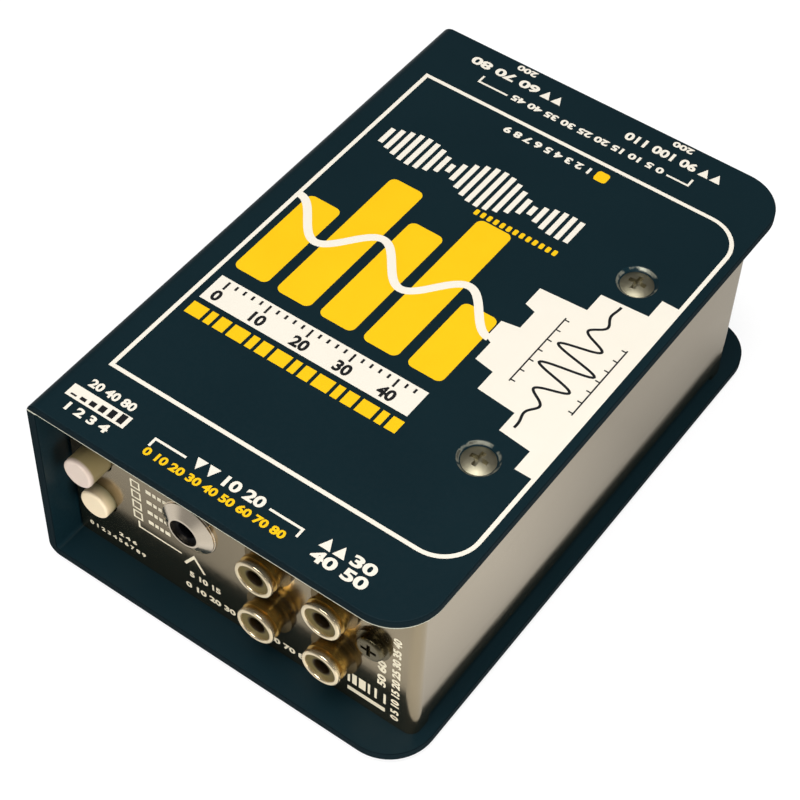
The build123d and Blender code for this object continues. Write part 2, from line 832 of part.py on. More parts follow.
def make_amplifiers():
    """Eight-pin amplifier chips standing on their pins."""
    half_x = chip_length / 2
    half_y = chip_width / 2
    half_pin = chip_pin_width / 2
    body = box(-half_x, half_x, -half_y, half_y, chip_foot, chip_top)
    chip = chamfer(body.edges().group_by(Axis.Z)[-1], 0.4)
    for y in (-chip_pin_y, chip_pin_y):
        for step in (-1.5, -0.5, 0.5, 1.5):
            x = step * chip_pitch
            chip += box(x - half_pin, x + half_pin, y - half_pin, y + half_pin, 0, chip_pin_height)
    chips = Part()
    for x, y in amplifier_places:
        chips += Pos(x, y, board_top) * chip
    return chips


def make_resistors():
    """Axial resistors lying in rows, with their leads bent down to the board."""
    level = board_top + resistor_height
    half_span = lead_span / 2
    parts = Part()
    for y in resistor_rows:
        for x in resistor_columns:
            parts += Pos(x, y, level) * Rot(Y=90) * Cylinder(resistor_radius, resistor_length)
            parts += Pos(x, y, level) * Rot(Y=90) * Cylinder(lead_radius, lead_span)
            for foot_x in (x - half_span, x + half_span):
                parts += post(foot_x, y, board_top, level + lead_foot_radius, lead_foot_radius)
    return parts


def make_transistors():
    """Small-signal transistors: a round body with one flat, on its leads."""
    reach = transistor_radius + 1
    body = post(0, 0, transistor_low, transistor_high, transistor_radius)
    body -= box(-reach, reach, -reach, -transistor_flat, 0, transistor_high + 1)
    for x in (-transistor_pitch, 0, transistor_pitch):
        body += post(x, 0, 0, transistor_low + 0.1, lead_radius)
    parts = Part()
    for x, y in transistor_places:
        parts += Pos(x, y, board_top) * body
    return parts


# ---- everything, written node by node ----

def build():
    save(make_sleeve(), "outer_shell")
    save(make_chassis(), "chassis")
    save(make_base_pad(), "base_pad")
    top_screws, base_screws = make_cover_screws()
    save(top_screws, "cover_screws_top")
    save(base_screws, "cover_screws_base")
    save(make_clinch_nuts(), "clinch_nuts")

    save(make_board(), "circuit_board")
    save(make_board_spacers(), "board_spacers")
    save(make_board_screws(), "board_screws")
    save(make_electrolytics(), "electrolytic_capacitors")
    save(make_film_capacitors(), "film_capacitors")
    save(make_amplifiers(), "amplifier_chips")
    save(make_resistors(), "resistors")
    save(make_transistors(), "transistors")

    for use in phono_columns:
        save(make_phono_block(use), f"phono_block_{use}")
    for name, (x, z) in phono_places().items():
        save(Pos(x, 0, z) * make_phono_sleeve(), f"phono_sleeve_{name}")
        save(Pos(x, 0, z) * make_phono_insulator(), f"phono_insulator_{name}")
        save(Pos(x, 0, z) * make_phono_contact(), f"phono_contact_{name}")

    body, nose, washer, nut, contacts = make_minijack()
    save(body, "minijack_body")
    save(nose, "minijack_nose")
    save(washer, "minijack_washer")
    save(nut, "minijack_nut")
    save(contacts, "minijack_contacts")

    for which in ("upper", "lower"):
        save(make_button_cap(which), f"button_cap_{which}")
        save(make_plunger(which), f"button_plunger_{which}")
        save(make_switch_body(which), f"switch_body_{which}")
        save(make_switch_spring(which), f"switch_spring_{which}")
    save(make_riser_board(), "switch_riser_board")

    screw, washer, nut = make_ground_terminal()
    save(screw, "ground_screw")
    save(washer, "ground_washer")
    save(nut, "ground_nut")

    for side, x in (("left", -xlr_x), ("right", xlr_x)):
        save(make_xlr_shell(x), f"xlr_shell_{side}")
        save(make_xlr_insert(x), f"xlr_insert_{side}")
        save(make_xlr_pins(x), f"xlr_pins_{side}")
    screws, nuts = make_xlr_fasteners()
    save(screws, "xlr_screws")
    save(nuts, "xlr_nuts")

    body, pin = make_power_inlet()
    save(body, "power_inlet_body")
    save(pin, "power_inlet_pin")


build()
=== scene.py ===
from math import cos, pi, radians, sin

import bmesh
import bpy
import numpy as np
from mathutils import Matrix, Vector


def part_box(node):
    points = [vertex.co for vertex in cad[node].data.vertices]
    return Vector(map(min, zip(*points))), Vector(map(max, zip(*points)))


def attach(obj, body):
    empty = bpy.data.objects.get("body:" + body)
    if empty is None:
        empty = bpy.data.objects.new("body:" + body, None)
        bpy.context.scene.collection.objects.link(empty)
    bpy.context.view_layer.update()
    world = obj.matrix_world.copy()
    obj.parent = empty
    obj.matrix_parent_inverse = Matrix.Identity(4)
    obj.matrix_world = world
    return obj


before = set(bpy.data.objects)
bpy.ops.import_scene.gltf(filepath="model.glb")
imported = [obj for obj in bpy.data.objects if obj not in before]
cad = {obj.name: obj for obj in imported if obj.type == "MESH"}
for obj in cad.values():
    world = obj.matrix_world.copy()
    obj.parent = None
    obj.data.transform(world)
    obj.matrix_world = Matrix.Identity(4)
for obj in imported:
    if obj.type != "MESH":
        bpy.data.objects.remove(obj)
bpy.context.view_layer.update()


# ---- table, light and view ----
# The box lies on a plain white table in a white sweep. One wide soft light hangs overhead, two weaker
# ones fill from the front left and the right, and the camera looks down on the connector end from its right.

mm = 0.001
camera_place = Vector((0.14146, -0.21888, 0.32956))
camera_azimuth = radians(33.85)
camera_elevation = radians(50.35)
camera_roll = radians(2.614)
camera_lens = 92.67


def look(camera_object, place, azimuth, elevation, roll):
    """Turns a camera to look along an azimuth to the left of +Y and an elevation below the horizon."""
    forward = Vector((-sin(azimuth) * cos(elevation), cos(azimuth) * cos(elevation), -sin(elevation)))
    level = forward.cross(Vector((0, 0, 1))).normalized()
    plumb = level.cross(forward)
    right = level * cos(roll) + plumb * sin(roll)
    axes = Matrix((right, right.cross(forward), -forward)).transposed()
    camera_object.matrix_world = Matrix.Translation(place) @ axes.to_4x4()


camera = bpy.data.objects.new("camera", bpy.data.cameras.new("camera"))
camera.data.sensor_width = 36
camera.data.lens = camera_lens
camera.data.clip_start = 0.01
bpy.context.scene.collection.objects.link(camera)
bpy.context.scene.camera = camera
look(camera, camera_place, camera_azimuth, camera_elevation, camera_roll)
bpy.context.scene.view_settings.view_transform = "Standard"


def put(tree, kind, values=None, **settings):
    """Adds a node. Settings are its own properties, values its inputs: a number, a colour or a socket."""
    node = tree.nodes.new(kind)
    for key, value in settings.items():
        setattr(node, key, value)
    for key, value in (values or {}).items():
        if isinstance(value, bpy.types.NodeSocket):
            tree.links.new(value, node.inputs[key])
        else:
            node.inputs[key].default_value = value
    return node


def calculate(tree, operation, *values, **settings):
    """One Math node on numbers or sockets."""
    return put(tree, "ShaderNodeMath", dict(enumerate(values)), operation=operation, **settings).outputs[0]


def sum_of(tree, total, *others):
    """Adds up numbers or sockets, held between 0 and 1."""
    for other in others:
        total = calculate(tree, "ADD", total, other, use_clamp=True)
    return total


def product_of(tree, total, *others):
    """Multiplies numbers or sockets."""
    for other in others:
        total = calculate(tree, "MULTIPLY", total, other)
    return total


def between(tree, share, first, second):
    """A value that runs from the first to the second as a share runs from 0 to 1."""
    return put(tree, "ShaderNodeMix", {"Factor": share, 2: first, 3: second}).outputs[0]


def ramp(tree, value, start, end, low=0.0, high=1.0):
    """Runs from low to high as a value runs from start to end, and stays level beyond them."""
    ends = {"From Min": start, "From Max": end, "To Min": low, "To Max": high}
    return put(tree, "ShaderNodeMapRange", {"Value": value, **ends}).outputs[0]


def spot_of(tree):
    """The shaded point, in its object's own coordinates."""
    return put(tree, "ShaderNodeTexCoord").outputs["Object"]


def axes_of(tree):
    """The shaded point's X, Y and Z, in its object's own coordinates."""
    return put(tree, "ShaderNodeSeparateXYZ", {0: spot_of(tree)}).outputs


def length_of(tree, vector):
    """The length of a vector."""
    return put(tree, "ShaderNodeVectorMath", {0: vector}, operation="LENGTH").outputs["Value"]


def seen_directly(tree):
    """1 where a ray comes from the camera, a mirror or glass, and 0 where it comes from a matt surface."""
    path = put(tree, "ShaderNodeLightPath").outputs
    return sum_of(tree, path["Is Camera Ray"], path["Is Glossy Ray"], path["Is Transmission Ray"])


def wire(tree, source, target):
    """Links an output to an input."""
    tree.links.new(source, target)


def new_group(name, inputs, outputs):
    """An empty shader group. Inputs are label to default value, a number or a vector; outputs are labels."""
    group = bpy.data.node_groups.new(name, "ShaderNodeTree")
    for label, default in inputs.items():
        kind = "NodeSocketVector" if isinstance(default, tuple) else "NodeSocketFloat"
        group.interface.new_socket(label, in_out="INPUT", socket_type=kind).default_value = default
    for label in outputs:
        group.interface.new_socket(label, in_out="OUTPUT", socket_type="NodeSocketFloat")
    return group, group.nodes.new("NodeGroupInput"), group.nodes.new("NodeGroupOutput")


shell_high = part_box("outer_shell")[1]
plan_radius = 9.75 * mm


def make_plan_edge():
    """How far inside the plates' outline a point is, in metres, and below 0 outside it.

    Beyond the corner's centre in X and in Y the distance from that centre is taken from the radius, and
    elsewhere the same sum gives the distance from the straight front, rear and right edges.
    """
    group, _, leave = new_group("plan_edge", {}, ("Inside", "Z"))
    place = axes_of(group)
    flat_y = calculate(group, "ABSOLUTE", place["Y"])
    past_x = calculate(group, "SUBTRACT", place["X"], shell_high.x - plan_radius)
    past_y = calculate(group, "SUBTRACT", flat_y, shell_high.y - plan_radius)
    reach_x = calculate(group, "MAXIMUM", past_x, 0.0)
    reach_y = calculate(group, "MAXIMUM", past_y, 0.0)
    reach = put(group, "ShaderNodeCombineXYZ", {0: reach_x, 1: reach_y}).outputs[0]
    inside = calculate(group, "SUBTRACT", plan_radius, length_of(group, reach))
    wire(group, inside, leave.inputs["Inside"])
    wire(group, place["Z"], leave.inputs["Z"])
    return group


plan_edge = make_plan_edge()

# The table's own values, its glow near the box and far from it, and what bare steel mirrors of it. That
# mirrored glow is painted light: it is painted darker before the connector end, towards the rear and far out
# in front, and close to the box as a painted shadow of the box.
table_size = 3.0
table_colour = (0.8, 0.8, 0.8, 1)
table_shadow = 0.3
table_glow = 1.15
far_glow = 1.45
far_start = 0.25
far_end = 0.7
mirror_front = -0.09
mirror_side = -0.03
mirror_low = 0.62
mirror_near = -0.012
mirror_rear = 0.03
mirror_far = 0.7
contact_reach = 0.009
contact_shadow_level = 0.7
front_dark = -0.3
front_end = -0.12
front_low = 0.4

table_mesh = bpy.data.meshes.new("table")
corners = np.array([(-1, -1, 0), (1, -1, 0), (1, 1, 0), (-1, 1, 0)]) * table_size
table_mesh.from_pydata(corners.tolist(), [], [(0, 1, 2, 3)])
table = bpy.data.objects.new("table", table_mesh)
bpy.context.scene.collection.objects.link(table)

# The camera sees the table white with the box's shadow on it, and looks through it from below.
table_paper = bpy.data.materials.new("table_paper")
table_paper.use_nodes = True
tree = table_paper.node_tree
tree.nodes.clear()
path = put(tree, "ShaderNodeLightPath").outputs
place = axes_of(tree)
inside = put(tree, "ShaderNodeGroup", node_tree=plan_edge).outputs["Inside"]
across = calculate(tree, "ADD", place["X"], place["Y"])
# What bare steel mirrors of the table is painted light and painted shadow, set by place on the table.
side_light = ramp(tree, across, mirror_front, mirror_side, mirror_low, 1.0)
far_light = ramp(tree, place["Y"], mirror_near, mirror_rear, 1.0, mirror_far)
front_light = ramp(tree, place["Y"], front_dark, front_end, front_low, 1.0)
painted_contact_shadow = ramp(tree, inside, -contact_reach, 0.0, 1.0, contact_shadow_level)
mirrored = product_of(tree, side_light, far_light, front_light, painted_contact_shadow)
seen_glow = ramp(tree, length_of(tree, spot_of(tree)), far_start, far_end, table_glow, far_glow)
strength = between(tree, path["Is Camera Ray"], mirrored, seen_glow)
lit = put(tree, "ShaderNodeBsdfDiffuse", {"Color": table_colour})
white = put(tree, "ShaderNodeEmission", {"Strength": strength})
share = product_of(tree, path["Is Camera Ray"], table_shadow)
blend = put(tree, "ShaderNodeMixShader", {0: share, 1: white.outputs[0], 2: lit.outputs[0]})
surface = put(tree, "ShaderNodeMixShader", {0: seen_directly(tree), 1: lit.outputs[0], 2: blend.outputs[0]})
under = put(tree, "ShaderNodeNewGeometry").outputs["Backfacing"]
open_below = product_of(tree, under, path["Is Camera Ray"])
clear = put(tree, "ShaderNodeBsdfTransparent").outputs[0]
surface = put(tree, "ShaderNodeMixShader", {0: open_below, 1: surface.outputs[0], 2: clear})
put(tree, "ShaderNodeOutputMaterial", {0: surface.outputs[0]})
table_mesh.materials.append(table_paper)

sweep_glow = 0.22
sweep_top = 0.35
ceiling_glow = 0.12
mirror_glow = 0.33

studio = bpy.data.worlds.new("studio")
studio.use_nodes = True
bpy.context.scene.world = studio
tree = studio.node_tree
tree.nodes.clear()
path = put(tree, "ShaderNodeLightPath").outputs
direction = put(tree, "ShaderNodeTexCoord").outputs["Generated"]
height = put(tree, "ShaderNodeSeparateXYZ", {0: direction}).outputs["Z"]
above = ramp(tree, height, 0.0, sweep_top, mirror_glow, ceiling_glow)
mirror = sum_of(tree, path["Is Glossy Ray"], path["Is Transmission Ray"])
glow = between(tree, mirror, sweep_glow, above)
strength = between(tree, path["Is Camera Ray"], glow, 1.0)
background = put(tree, "ShaderNodeBackground", {"Color": (1, 1, 1, 1), "Strength": strength})
put(tree, "ShaderNodeOutputWorld", {0: background.outputs[0]})


def soft_light(name, place, aim, size, power, mirrored=True):
    """A square lamp that faces its aim. Left unmirrored, it doesn't show in gloss and metal."""
    lamp = bpy.data.lights.new(name, "AREA")
    lamp.shape = "SQUARE"
    lamp.size = size
    lamp.energy = power
    lamp_object = bpy.data.objects.new(name, lamp)
    turn = (Vector(aim) - Vector(place)).to_track_quat("-Z", "Y")
    lamp_object.matrix_world = Matrix.Translation(place) @ turn.to_matrix().to_4x4()
    lamp_object.visible_glossy = mirrored
    bpy.context.scene.collection.objects.link(lamp_object)


box_middle = (0, 0, 0.02)
soft_light("overhead_light", (0.05, -0.25, 1.0), box_middle, 0.55, 8.9)
soft_light("front_fill", (-0.15, -1.1, 0.17), box_middle, 0.4, 6.0, mirrored=False)
soft_light("side_fill", (0.95, -0.3, 0.32), box_middle, 0.4, 8.5, mirrored=False)


# ---- outer shell ----
# One sheet of steel folded into the top plate, the left wall and the bottom plate, and powder coated
# dark navy. The cut edges are painted darker and duller, as painted shade, and a light line along the lower
# front edge of the top plate is a painted highlight of bare steel.

def colour(red, green, blue):
    """A shader colour from the 0 to 255 values that it has on a screen."""
    screen = np.array([red, green, blue]) / 255
    linear = np.where(screen <= 0.04045, screen / 12.92, ((screen + 0.055) / 1.055) ** 2.4)
    return (*linear.tolist(), 1)


def new_material(name):
    """A material with a plain Principled shader, and its tree and shader."""
    material = bpy.data.materials.new(name)
    material.use_nodes = True
    return material, material.node_tree, material.node_tree.nodes["Principled BSDF"]


def dress(node, material):
    """Puts a material on every face of a CAD node."""
    holder = cad[node]
    holder.data.materials.clear()
    holder.data.materials.append(material)


broad_share = 0.3


def make_grain():
    """Two noises over Object coordinates, stretched along a piece's grain, and their weighted sum."""
    inputs = {"Fine Scale": 2000.0, "Broad Scale": 60.0, "Stretch": (1.0, 1.0, 1.0)}
    group, enter, leave = new_group("surface_grain", inputs, ("Fine", "Broad", "Height"))
    along = {0: spot_of(group), 1: enter.outputs["Stretch"]}
    spot = put(group, "ShaderNodeVectorMath", along, operation="MULTIPLY").outputs[0]

    def noise(label, detail):
        values = {"Vector": spot, "Scale": enter.outputs[label], "Detail": detail}
        return put(group, "ShaderNodeTexNoise", values).outputs[0]

    fine = noise("Fine Scale", 3.0)
    broad = noise("Broad Scale", 4.0)
    height = calculate(group, "MULTIPLY_ADD", broad, broad_share, fine)
    for label, socket in (("Fine", fine), ("Broad", broad), ("Height", height)):
        wire(group, socket, leave.inputs[label])
    return group


surface_grain = make_grain()
grain_low = 0.3
grain_high = 0.7


def blend_tones(tree, share, first, second):
    """A colour that runs from the first to the second as a share runs from 0 to 1."""
    return put(tree, "ShaderNodeMix", {"Factor": share, 6: first, 7: second}, data_type="RGBA").outputs[2]


def grained(name, dark, light, roughness, fine=2000.0, broad=60.0, stretch=(1.0, 1.0, 1.0), bump=0.1,
            depth=0.02, metallic=0.0, **sockets):
    """A material whose colour runs from dark to light and whose gloss runs over a range, both by its grain.

    Roughness is a pair of ends. Bump is the strength of the grain's relief and depth its height in mm.
    """
    material, tree, shader = new_material(name)
    grain = put(tree, "ShaderNodeGroup", node_tree=surface_grain)
    grain.inputs["Fine Scale"].default_value = fine
    grain.inputs["Broad Scale"].default_value = broad
    grain.inputs["Stretch"].default_value = stretch
    tone = blend_tones(tree, grain.outputs["Broad"], dark, light)
    gloss = ramp(tree, grain.outputs["Fine"], grain_low, grain_high, *roughness)
    relief = put(tree, "ShaderNodeBump", {"Strength": bump, "Distance": depth * mm,
                                          "Height": grain.outputs["Height"]})
    wire(tree, tone, shader.inputs["Base Color"])
    wire(tree, gloss, shader.inputs["Roughness"])
    wire(tree, relief.outputs[0], shader.inputs["Normal"])
    shader.inputs["Metallic"].default_value = metallic
    for label, value in sockets.items():
        shader.inputs[label].default_value = value
    return material


sheet = 1.9 * mm
coat_shine = 0.14
edge_depth = 0.3 * mm
edge_shade_tone = colour(6, 22, 27)
edge_roughness = 0.9
steel_and_highlight_tone = colour(168, 168, 152)
highlight_line_width = 0.28 * mm
highlight_start = -45 * mm
highlight_full = -60 * mm
screw_x = 29.5 * mm
screw_y = 26.4 * mm
screw_rim = 3.8 * mm
rim_width = 0.32 * mm
wear_scale = 420.0
wear_low = 0.45
wear_high = 0.62

powder_coat = grained("navy_powder_coat", colour(11, 30, 36), colour(15, 35, 41), (0.3, 0.42), fine=1500.0,
                      broad=45.0, bump=0.12, depth=0.02)


def paint_over(tree, share, tone):
    """Lays a tone over the colour that a material has so far, by a share from 0 to 1."""
    base = tree.nodes["Principled BSDF"].inputs["Base Color"]
    wire(tree, blend_tones(tree, share, base.links[0].from_socket, tone), base)


def near(tree, value, level, width):
    """1 within half a width of a level, and 0 beyond the width."""
    gap = calculate(tree, "ABSOLUTE", calculate(tree, "SUBTRACT", value, level))
    return ramp(tree, gap, width * 0.5, width, 1.0, 0.0)


def shade_and_wear_edges(material):
    """Paints the coat darker and duller on the plates' edge faces, as painted shade, and paints a light line
    along the top plate's lower front edge as a painted highlight of bare steel.

    In spots round the rims of the screw holes it lets bare steel through where the coat is rubbed.
    """
    tree = material.node_tree
    shader = tree.nodes["Principled BSDF"]
    place = axes_of(tree)
    edge = put(tree, "ShaderNodeGroup", node_tree=plan_edge).outputs
    face = near(tree, edge["Inside"], 0.0, edge_depth)
    lower = near(tree, edge["Z"], shell_high.z - sheet, highlight_line_width)
    line = product_of(tree, face, lower, ramp(tree, place["Y"], highlight_start, highlight_full))

    off_x = calculate(tree, "SUBTRACT", place["X"], screw_x)
    off_y = calculate(tree, "SUBTRACT", calculate(tree, "ABSOLUTE", place["Y"]), screw_y)
    away = put(tree, "ShaderNodeCombineXYZ", {0: off_x, 1: off_y}).outputs[0]
    rim = near(tree, length_of(tree, away), screw_rim, rim_width)
    noise = put(tree, "ShaderNodeTexNoise", {"Vector": spot_of(tree), "Scale": wear_scale}).outputs[0]
    ring = product_of(tree, rim, ramp(tree, noise, wear_low, wear_high))

    # Painted shade darkens the edge faces. The light front line is a painted highlight, and the rubbed spots
    # round the screw rims are bare metal.
    paint_over(tree, face, edge_shade_tone)
    paint_over(tree, sum_of(tree, line, ring), steel_and_highlight_tone)
    wire(tree, ring, shader.inputs["Metallic"])
    gloss = shader.inputs["Roughness"].links[0].from_socket
    wire(tree, between(tree, face, gloss, edge_roughness), shader.inputs["Roughness"])
    shader.inputs["Specular IOR Level"].default_value = coat_shine


shade_and_wear_edges(powder_coat)
dress("outer_shell", powder_coat)


# ---- chassis ----
# Front panel, right wall, rear panel and the flanges in one folded sheet of satin steel. The rolling
# grain of the sheet runs along the box.

satin_steel = grained("satin_steel", colour(153, 139, 112), colour(161, 147, 120), (0.12, 0.17), fine=900.0,
                      broad=25.0, stretch=(1.0, 0.12, 1.0), bump=0.02, depth=0.004, metallic=0.985)
dress("chassis", satin_steel)


# ---- screen print ----
# Inks printed over the powder coat and the bare front panel: white, yellow, black and cream. Each patch
# of ink is a thin film with its own thickness, and a later colour lies over an earlier one.

film = {"white": 0.02, "yellow": 0.03, "white_over": 0.045, "black": 0.045}
film_root = 0.01
arrow_width = 0.84
arrow_tip = 0.08
figure_swell = 0.04


def ink(name, dark, light):
    """Cured screen ink: nearly even in colour, with a faint orange peel."""
    return grained(name, dark, light, (0.38, 0.5), fine=1600.0, broad=120.0, bump=0.06, depth=0.01,
                   **{"Specular IOR Level": 0.2})


inks = {"white": ink("white_ink", colour(227, 220, 205), colour(231, 224, 210)),
        "yellow": ink("yellow_ink", colour(231, 183, 10), colour(237, 191, 18)),
        "black": ink("black_ink", colour(20, 21, 23), colour(27, 28, 30)),
        "cream": ink("cream_ink", colour(208, 198, 172), colour(220, 211, 186))}


class Sheet:
    """A flat face that is printed on: its origin in mm, the ways across and up the print, and outwards."""

    def __init__(self, origin, across, up):
        self.origin = np.array(origin, float)
        self.across = np.array(across, float)
        self.up = np.array(up, float)
        self.out = np.cross(self.across, self.up)

    def lift(self, points, height):
        """Points of the print, an n by 2 array, as places in space at a height above the face."""
        points = np.asarray(points, float)
        return self.origin + points[:, :1] * self.across + points[:, 1:] * self.up + height * self.out


class Ink:
    """All the patches of one ink on one sheet, which become one object."""

    def __init__(self, sheet, kind, top):
        self.sheet = sheet
        self.kind = kind
        self.top = film[top]
        self.points = []
        self.faces = []
        self.count = 0

    def add(self, points, faces):
        """Adds a patch's points, and its faces counted from the patch's first point."""
        self.faces.extend([tuple(int(i) + self.count for i in face) for face in faces])
        self.points.append(points)
        self.count += len(points)

    def ribbon(self, left, right, closed=False):
        """A patch between two edges with as many points each, the first on the left of the way along.

        Point i of the edges makes a section of four corners: left and right just under the face, then right
        and left at the film's top. Neighbouring sections are joined by four faces, and the ends are capped.
        """
        left = np.asarray(left, float)
        right = np.asarray(right, float)
        low = -film_root
        corners = [self.sheet.lift(edge, height) for edge, height in
                   ((left, low), (right, low), (right, self.top), (left, self.top))]
        count = len(left)
        points = np.stack(corners, axis=1).reshape(-1, 3)
        faces = []
        for i in range(count if closed else count - 1):
            here = 4 * i
            there = 4 * ((i + 1) % count)
            for k in range(4):
                turn = (k + 1) % 4
                faces.append((here + k, there + k, there + turn, here + turn))
        if not closed:
            last = 4 * (count - 1)
            faces.append((0, 1, 2, 3))
            faces.append((last + 3, last + 2, last + 1, last))
        self.add(points, faces)

    def stroke(self, path, width, closed=False):
        """A line of one width along a path, mitred where it turns.

        The side of each point is (n1 + n2) / (1 + n1.n2), with n1 and n2 the left normals before and after.
        """
        path = np.asarray(path, float)
        step = np.roll(path, -1, axis=0) - path
        step /= np.maximum(np.linalg.norm(step, axis=1, keepdims=True), 1e-9)
        after = np.stack((-step[:, 1], step[:, 0]), axis=1)
        before = np.roll(after, 1, axis=0)
        if not closed:
            after[-1] = before[-1]
            before[0] = after[0]
        agree = np.sum(before * after, axis=1, keepdims=True)
        side = (before + after) / (1 + agree) * width / 2
        self.ribbon(path + side, path - side, closed)

    def block(self, x0, x1, y0, y1):
        """A rectangle."""
        self.ribbon([(x0, y0), (x0, y1)], [(x1, y0), (x1, y1)])

    def pill(self, x, y0, y1, width, round_by):
        """An upright bar with rounded corners: its half width at each height follows the corner's circle."""
        angle = np.linspace(0, pi / 2, 9)
        inset = round_by * (1 - np.sin(angle))
        rise = round_by * (1 - np.cos(angle))
        half = np.concatenate((width / 2 - inset, (width / 2 - inset)[::-1]))
        height = np.concatenate((y0 + rise, (y1 - rise)[::-1]))
        self.ribbon(np.stack((x - half, height), axis=1), np.stack((x + half, height), axis=1))

    def bars(self, x, y, height, pattern, unit):
        """A row of upright bars. The pattern's figures are widths and gaps in turn, in units."""
        for i, figure in enumerate(pattern):
            width = int(figure) * unit
            if i % 2 == 0:
                self.block(x, x + width, y, y + height)
            x += width

    def arrows(self, x, y, height, count, pitch, way=1):
        """A row of solid triangles that point up the print, or down it where way is -1."""
        width = pitch * arrow_width
        for i in range(count):
            left = x + i * pitch
            middle = left + width / 2
            flat_end = y + height * (1 - way) / 2
            tip = y + height * (1 + way) / 2
            flat = ((left, flat_end), (left + width, flat_end))
            point = ((middle - arrow_tip / 2, tip), (middle + arrow_tip / 2, tip))
            ends = (flat, point)[::way]
            self.ribbon([end[0] for end in ends], [end[1] for end in ends])

    def number(self, text, x, y, height, width=None):
        """Plain bold figures of a height, centred on a place and drawn out to a width."""
        curve = bpy.data.curves.new("figures", "FONT")
        curve.body = text
        curve.offset = figure_swell
        curve.extrude = 0.5
        curve.resolution_u = 4
        holder = bpy.data.objects.new("figures", curve)
        mesh = bpy.data.meshes.new_from_object(holder)
        flat = np.empty(len(mesh.vertices) * 3)
        mesh.vertices.foreach_get("co", flat)
        flat = flat.reshape(-1, 3)
        low = flat.min(axis=0)
        high = flat.max(axis=0)
        size = height / (high[1] - low[1])
        drawn = (flat[:, :2] - (low[:2] + high[:2]) / 2) * size
        if width:
            drawn[:, 0] *= width / (size * (high[0] - low[0]))
        base = self.sheet.lift(drawn + np.array((x, y)), 0.0)
        level = np.where(flat[:, 2:] > 0, self.top, -film_root)
        faces = [tuple(face.vertices) for face in mesh.polygons]
        self.add(base + level * self.sheet.out, faces)
        bpy.data.objects.remove(holder)
        bpy.data.curves.remove(curve)
        bpy.data.meshes.remove(mesh)

    def finish(self, name):
        """Makes the object, with doubled points joined and every face outwards."""
        mesh = bpy.data.meshes.new(name)
        mesh.from_pydata((np.concatenate(self.points) * mm).tolist(), [], self.faces)
        work = bmesh.new()
        work.from_mesh(mesh)
        bmesh.ops.remove_doubles(work, verts=work.verts, dist=1e-7)
        bmesh.ops.dissolve_degenerate(work, edges=work.edges, dist=1e-7)
        bmesh.ops.recalc_face_normals(work, faces=work.faces)
        work.to_mesh(mesh)
        work.free()
        mesh.materials.append(inks[self.kind])
        piece = bpy.data.objects.new(name, mesh)
        bpy.context.scene.collection.objects.link(piece)
        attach(piece, "housing")


# ---- print on the top plate ----
# A white border with rounded right-hand corners, a row of yellow level bars crossed by a white wave, a
# white stepped chart against the border, a ruler with plain numbers, and small marks at either end.

plate_top = Sheet((0, 0, shell_high.z / mm), (1, 0, 0), (0, 1, 0))
border_left = -35.5
border_right = 39.8
border_front = -48.7
border_back = 49.5
border_round = 7.5
border_width = 0.85
bar_base = -16.5
bar_first_x = -29.6
bar_pitch = 10.0
bar_width = 7.8
bar_round = 1.4
bar_lengths = (24.0, 37.5, 30.0, 38.5, 19.0)
wave_middle = 2.0
wave_height = 4.2
wave_length = 20.0
wave_width = 1.7
chart_low = -25.0
chart_row = 5.6
chart_slope = 0.35
chart_lengths = (4.0, 11.0, 19.5, 23.8, 25.2, 21.5, 24.0, 14.0, 4.0)

top_white = Ink(plate_top, "white", "white")
angle = np.linspace(-pi / 2, 0, 13)
turn = np.stack((np.cos(angle), np.sin(angle)), axis=1) * border_round
low_corner = turn + (border_right - border_round, border_front + border_round)
high_corner = turn[::-1] * (1, -1) + (border_right - border_round, border_back - border_round)
border = np.concatenate(([(border_left, border_back), (border_left, border_front)], low_corner, high_corner))
top_white.stroke(border, border_width, closed=True)

chart = []
for row, length in enumerate(chart_lengths):
    low = chart_low + row * chart_row
    chart.append((border_right - length, low + chart_slope))
    chart.append((border_right - length, low + chart_row - chart_slope))
chart = np.array(chart)
chart_back = np.stack((np.full(len(chart), border_right - border_width / 2), chart[:, 1]), axis=1)
top_white.ribbon(chart, chart_back)

ruler_left = -33.5
ruler_right = 14.0
ruler_front = -26.4
ruler_back = -19.6
top_white.block(ruler_left, ruler_right, ruler_front, ruler_back)

signal_middle = 30.0
signal_left = -31.5
signal_run = 44.5
signal_bars = 24
signal_half = 0.55
for i in range(signal_bars):
    share = i / (signal_bars - 1)
    reach = 1.2 + 4.6 * abs(sin(7.3 * share + 0.6)) * (0.45 + 0.55 * sin(pi * share))
    x = signal_left + signal_run * share
    top_white.block(x - signal_half, x + signal_half, signal_middle - reach, signal_middle + reach)
top_white.finish("top_print_white")

top_yellow = Ink(plate_top, "yellow", "yellow")
for i, length in enumerate(bar_lengths):
    top_yellow.pill(bar_first_x + i * bar_pitch, bar_base, bar_base + length, bar_width, bar_round)

dash_widths = (3.6, 1.5, 2.4) * 5
dash_gap = 0.75
dash_front = -30.9
dash_back = -27.7
dash_x = ruler_left
for dash in dash_widths:
    top_yellow.block(dash_x, dash_x + dash, dash_front, dash_back)
    dash_x += dash + dash_gap

dot_left = -5.0
dot_pitch = 1.5
for i in range(13):
    top_yellow.pill(dot_left + dot_pitch * i, 22.4, 23.9, 0.9, 0.3)
top_yellow.pill(9.1, 44.7, 47.5, 2.8, 0.7)
top_yellow.finish("top_print_yellow")

wave = Ink(plate_top, "white", "white_over")
x = np.linspace(border_left, border_right - chart_lengths[4] + 0.5, 121)
y = wave_middle + wave_height * np.sin(2 * pi * x / wave_length)
wave.stroke(np.stack((x, y), axis=1), wave_width)
wave.finish("top_print_wave")

